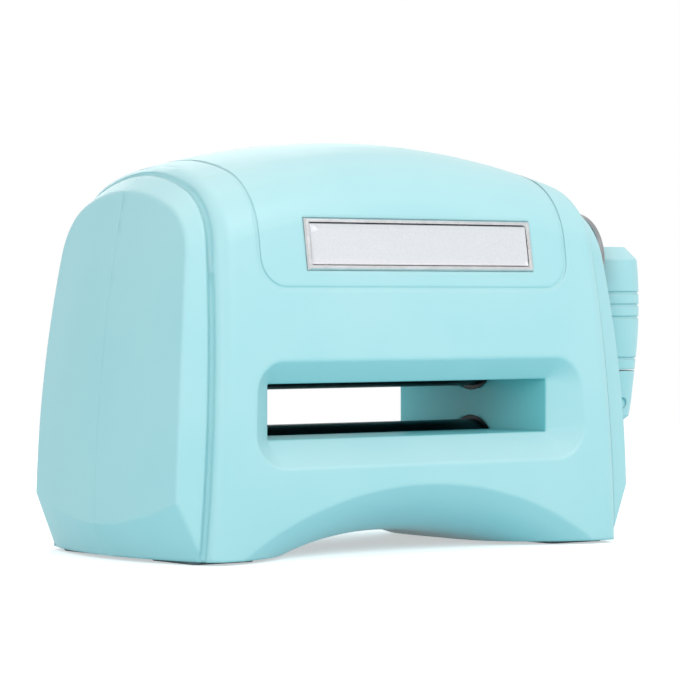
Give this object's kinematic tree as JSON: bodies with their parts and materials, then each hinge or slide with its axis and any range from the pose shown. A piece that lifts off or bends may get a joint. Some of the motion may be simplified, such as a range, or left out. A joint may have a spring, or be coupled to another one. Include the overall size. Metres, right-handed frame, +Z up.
{
  "type": "die cutting and embossing machine",
  "caption": "Hand cranked bench machine that rolls plates, dies and card between two steel rollers, with a side crank and a folding turning grip.",
  "frame": {"origin": "on the table plane under the rubber feet, midway along the rollers and midway between the front and rear mouths", "axes": "+X along the rollers towards the crank, +Y from the front mouth with the badge to the rear mouth, +Z up"},
  "size_m": [0.3053, 0.1268, 0.179],
  "materials": {
    "aqua_plastic": "pale aqua moulded plastic, satin",
    "bright_trim": "bright plated trim",
    "badge_silver": "light silver grey, bare",
    "clear_lens": "clear domed resin",
    "foot_rubber": "grey soft rubber",
    "black_plastic": "black acetal bearing plastic",
    "dark_steel": "ground steel, blackened",
    "gear_steel": "cut steel, oiled",
    "frame_steel": "zinc plated sheet steel",
    "bright_steel": "bright turned steel"
  },
  "bodies": {
    "chassis": {"front_shell": "aqua_plastic", "rear_shell": "aqua_plastic", "badge_rim": "bright_trim", "badge_plate": "badge_silver", "badge_lens": "clear_lens", "rubber_feet": "foot_rubber", "housing_screws": "bright_steel", "left_frame": "frame_steel", "right_frame": "frame_steel", "gear_plate": "frame_steel", "tie_rods": "bright_steel", "frame_screws": "bright_steel", "gear_plate_spacers": "bright_steel", "gear_plate_screws": "bright_steel", "upper_left_bush": "black_plastic", "lower_left_bush": "black_plastic", "upper_right_bush": "black_plastic", "lower_right_bush": "black_plastic", "crank_inner_bush": "black_plastic", "crank_outer_bush": "black_plastic", "idler_axle": "bright_steel", "idler_washers": "bright_steel"},
    "crank": {"crank_shaft": "bright_steel", "crank_pinion": "gear_steel", "crank_arm": "aqua_plastic", "arm_washer": "bright_steel", "arm_screw": "bright_steel", "hub_disc": "bright_trim"},
    "grip_link": {"grip_fork": "aqua_plastic", "grip_pin": "bright_steel", "grip_spindle": "bright_steel"},
    "grip": {"grip_sleeve": "aqua_plastic"},
    "idler": {"idler_gear": "gear_steel"},
    "upper_roller_body": {"upper_roller": "dark_steel", "upper_roller_gear": "gear_steel", "upper_roller_clips": "bright_steel"},
    "lower_roller_body": {"lower_roller": "dark_steel", "lower_roller_gear": "gear_steel", "lower_roller_clips": "bright_steel"}
  },
  "joints": [
    {"name": "crank_turn", "type": "hinge", "parent": "chassis", "child": "crank", "pos_m": [0.1311, 0, 0.1286], "axis": [1, 0, 0], "continuous": true},
    {"name": "grip_fold", "type": "hinge", "parent": "crank", "child": "grip_link", "pos_m": [0.1603, 0, 0.0606], "axis": [0, 1, 0], "range_deg": [0, 90]},
    {"name": "grip_spin", "type": "hinge", "parent": "grip_link", "child": "grip", "pos_m": [0.1603, 0, 0.1035], "axis": [0, 0, 1], "continuous": true},
    {"name": "idler_turn", "type": "hinge", "parent": "chassis", "child": "idler", "pos_m": [0.0938, 0.01934, 0.10976], "axis": [1, 0, 0], "continuous": true},
    {"name": "upper_roller_turn", "type": "hinge", "parent": "chassis", "child": "upper_roller_body", "pos_m": [0, 0, 0.0849], "axis": [1, 0, 0], "continuous": true},
    {"name": "lower_roller_turn", "type": "hinge", "parent": "chassis", "child": "lower_roller_body", "pos_m": [0, 0, 0.0399], "axis": [1, 0, 0], "continuous": true}
  ],
  "couplings": [
    {"joint": "idler_turn", "follows": "crank_turn", "ratio": -0.5},
    {"joint": "upper_roller_turn", "follows": "crank_turn", "ratio": 0.2},
    {"joint": "lower_roller_turn", "follows": "crank_turn", "ratio": -0.2}
  ]
}
